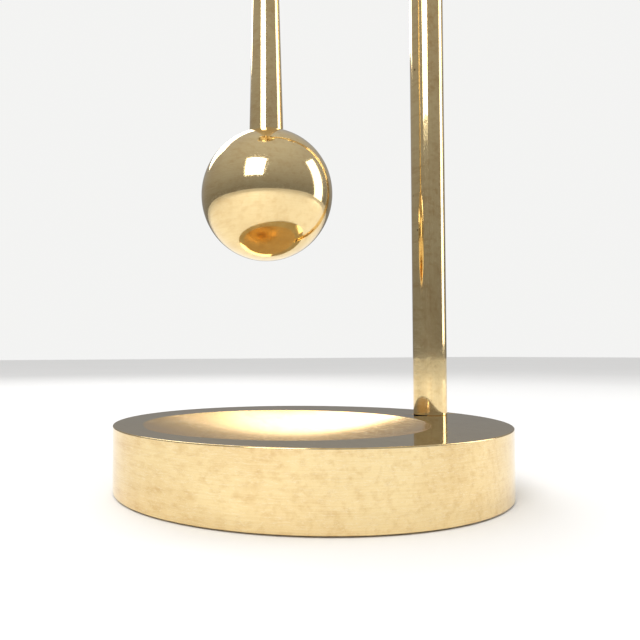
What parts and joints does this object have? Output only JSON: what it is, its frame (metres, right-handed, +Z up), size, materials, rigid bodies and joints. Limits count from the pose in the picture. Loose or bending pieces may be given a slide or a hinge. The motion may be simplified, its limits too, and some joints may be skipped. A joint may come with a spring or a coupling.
{
  "type": "desk pendulum",
  "caption": "Desk pendulum: a polished brass ball on a tapered rod, swinging in bearings from an arm over the dished top of a heavy round brass base.",
  "frame": {"origin": "centre of the underside of the base, on the surface that the felt rests on", "axes": "+Z up, +X from the ball towards the post, along the arm; the ball swings about the X direction, towards +Y and -Y"},
  "size_m": [0.15, 0.15, 0.309],
  "materials": {
    "base_brass": "polished top, fine turning lines on the side",
    "tube_brass": "polished, lightly aged",
    "ball_brass": "mirror polished",
    "knob_brass": "polished",
    "inner_brass": "as turned",
    "steel": "as machined",
    "bearing_steel": "ground and polished",
    "felt": "pressed wool felt"
  },
  "bodies": {
    "stand": {"base_disc": "base_brass", "base_felt": "felt", "base_nut": "steel", "base_lock_washer": "steel", "base_washer": "steel", "post_tube": "tube_brass", "post_foot_bush": "inner_brass", "tie_rod": "steel", "elbow_knob": "knob_brass", "elbow_set_screw": "steel", "arm_tube": "tube_brass", "pivot_head": "knob_brass", "spindle": "steel", "spindle_cap_nut": "knob_brass", "bearing_shims": "steel", "bearing_a_inner_ring": "bearing_steel", "bearing_b_inner_ring": "bearing_steel"},
    "pendulum": {"bearing_a_outer_ring": "bearing_steel", "bearing_b_outer_ring": "bearing_steel", "bearing_a_shields": "bearing_steel", "bearing_b_shields": "bearing_steel", "pendulum_eye": "knob_brass", "pendulum_rod": "ball_brass", "ball_stud": "steel", "pendulum_ball": "ball_brass"},
    "bearing_cages": {"bearing_a_cage": "inner_brass", "bearing_b_cage": "inner_brass", "bearing_a_balls": "bearing_steel", "bearing_b_balls": "bearing_steel"}
  },
  "joints": [
    {"name": "pendulum_swing", "type": "hinge", "parent": "stand", "child": "pendulum", "pos_m": [-0.0175, 0, 0.284], "axis": [1, 0, 0], "range_deg": [-60, 60]},
    {"name": "cage_roll", "type": "hinge", "parent": "stand", "child": "bearing_cages", "pos_m": [-0.0175, 0, 0.284], "axis": [1, 0, 0], "range_deg": [-36, 36]}
  ],
  "couplings": [
    {"joint": "cage_roll", "follows": "pendulum_swing", "ratio": 0.6}
  ]
}
